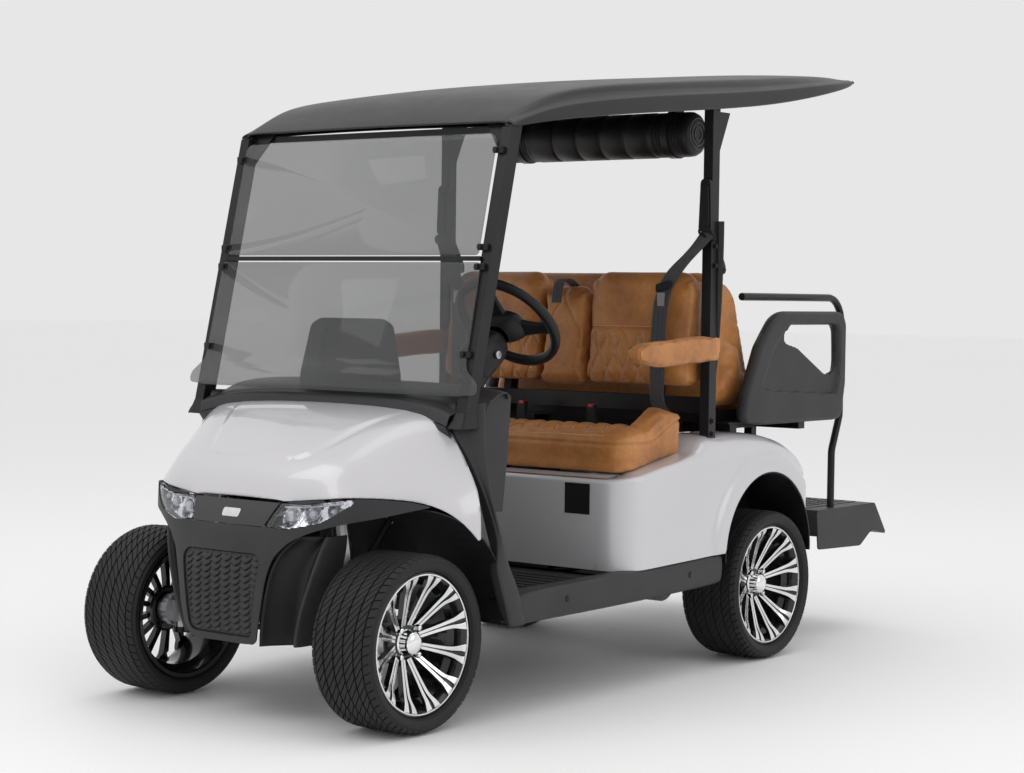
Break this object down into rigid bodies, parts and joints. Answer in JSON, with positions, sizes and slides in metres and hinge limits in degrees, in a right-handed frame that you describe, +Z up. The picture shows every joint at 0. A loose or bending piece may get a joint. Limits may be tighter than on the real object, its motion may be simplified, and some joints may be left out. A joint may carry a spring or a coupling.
{
  "type": "golf cart",
  "caption": "Four-seat electric golf cart with a canopy roof, folding windshield, padded bench, rear-facing flip seat, side arms, footrest and split-spoke alloy wheels.",
  "frame": {"origin": "on the ground under the middle of the overall box", "axes": "+X to the cart's left, +Y to its rear, +Z up"},
  "size_m": [1.185, 2.7896, 1.936],
  "materials": {
    "pearl_body": "gloss pearl white",
    "charcoal": "fine-grained charcoal plastic",
    "black_plastic": "black plastic",
    "gloss_black": "gloss black",
    "black_steel": "black powder coat",
    "steel": "plain steel",
    "lamp": "clear lamp",
    "tinted_glass": "grey acrylic",
    "leather": "tan leather with light stitching",
    "webbing": "woven belt",
    "mat_rubber": "ribbed mat",
    "alloy": "machined face on black",
    "tyre": "road tyre",
    "battery": "battery block"
  },
  "bodies": {
    "chassis": {"front_cowl": "pearl_body", "front_bumper": "charcoal", "grille": "black_plastic", "headlights": "lamp", "badge_panel": "gloss_black", "side_sills": "charcoal", "floor_pan": "mat_rubber", "rear_body": "pearl_body", "charge_port": "black_plastic", "wheel_liners": "black_plastic", "roof": "charcoal", "front_struts": "black_steel", "rear_struts": "black_steel", "dashboard": "charcoal", "display_housing": "black_plastic", "windshield": "tinted_glass", "windshield_bar": "black_plastic", "soundbar": "black_plastic", "seat_back": "leather", "armrests": "leather", "seat_frame": "black_steel", "seat_belts": "webbing", "belt_buckles": "black_plastic", "rear_deck": "black_steel", "rear_side_arms": "charcoal", "grab_rails": "black_steel", "footrest": "charcoal", "frame": "black_steel", "battery_pack": "battery", "front_suspension": "black_steel", "coil_overs": "steel", "steering_column": "black_plastic", "pedals": "black_steel", "rear_axle": "steel", "rear_springs": "steel", "rear_seat_back": "leather", "seat_hinge_lugs": "black_steel"},
    "front_seat": {"seat_cushion": "leather", "seat_hinge_leaves": "black_steel"},
    "rear_seat": {"rear_seat_cushion": "leather", "flip_deck": "charcoal"},
    "steering_wheel": {"steering_wheel": "black_plastic"},
    "knuckle_left": {"knuckle_left": "steel"},
    "knuckle_right": {"knuckle_right": "steel"},
    "tie_rod": {"tie_rod": "steel"},
    "wheel_front_left": {"rim_front_left": "alloy", "tyre_front_left": "tyre"},
    "wheel_front_right": {"rim_front_right": "alloy", "tyre_front_right": "tyre"},
    "wheel_rear_left": {"rim_rear_left": "alloy", "tyre_rear_left": "tyre"},
    "wheel_rear_right": {"rim_rear_right": "alloy", "tyre_rear_right": "tyre"}
  },
  "joints": [
    {"name": "steer_left", "type": "hinge", "parent": "chassis", "child": "knuckle_left", "pos_m": [0.39, -1.162, 0.239], "axis": [0, 0, 1], "range_deg": [-30, 30]},
    {"name": "steer_right", "type": "hinge", "parent": "chassis", "child": "knuckle_right", "pos_m": [-0.39, -1.162, 0.239], "axis": [0, 0, 1], "range_deg": [-30, 30]},
    {"name": "tie_rod_pivot", "type": "hinge", "parent": "knuckle_left", "child": "tie_rod", "pos_m": [0.39, -1.057, 0.262], "axis": [0, 0, 1], "range_deg": [-30, 30]},
    {"name": "steering_wheel_turn", "type": "hinge", "parent": "chassis", "child": "steering_wheel", "pos_m": [0.29, -0.514, 1.083], "axis": [0, 0.6896, 0.7242], "range_deg": [-360, 360]},
    {"name": "front_seat_lift", "type": "hinge", "parent": "chassis", "child": "front_seat", "pos_m": [0, 0.09, 0.715], "axis": [-1, 0, 0], "range_deg": [0, 36]},
    {"name": "rear_seat_flip", "type": "hinge", "parent": "chassis", "child": "rear_seat", "pos_m": [0, 1.053, 0.765], "axis": [-1, 0, 0], "range_deg": [0, 178]},
    {"name": "spin_front_left", "type": "hinge", "parent": "knuckle_left", "child": "wheel_front_left", "pos_m": [0.445, -1.162, 0.239], "axis": [1, 0, 0], "continuous": true},
    {"name": "spin_front_right", "type": "hinge", "parent": "knuckle_right", "child": "wheel_front_right", "pos_m": [-0.445, -1.162, 0.239], "axis": [1, 0, 0], "continuous": true},
    {"name": "spin_rear_left", "type": "hinge", "parent": "chassis", "child": "wheel_rear_left", "pos_m": [0.49, 0.508, 0.239], "axis": [1, 0, 0], "continuous": true},
    {"name": "spin_rear_right", "type": "hinge", "parent": "chassis", "child": "wheel_rear_right", "pos_m": [-0.49, 0.508, 0.239], "axis": [1, 0, 0], "continuous": true}
  ],
  "couplings": [
    {"joint": "steer_right", "follows": "steer_left", "ratio": 1},
    {"joint": "tie_rod_pivot", "follows": "steer_left", "ratio": -1},
    {"joint": "steering_wheel_turn", "follows": "steer_left", "ratio": 12}
  ]
}
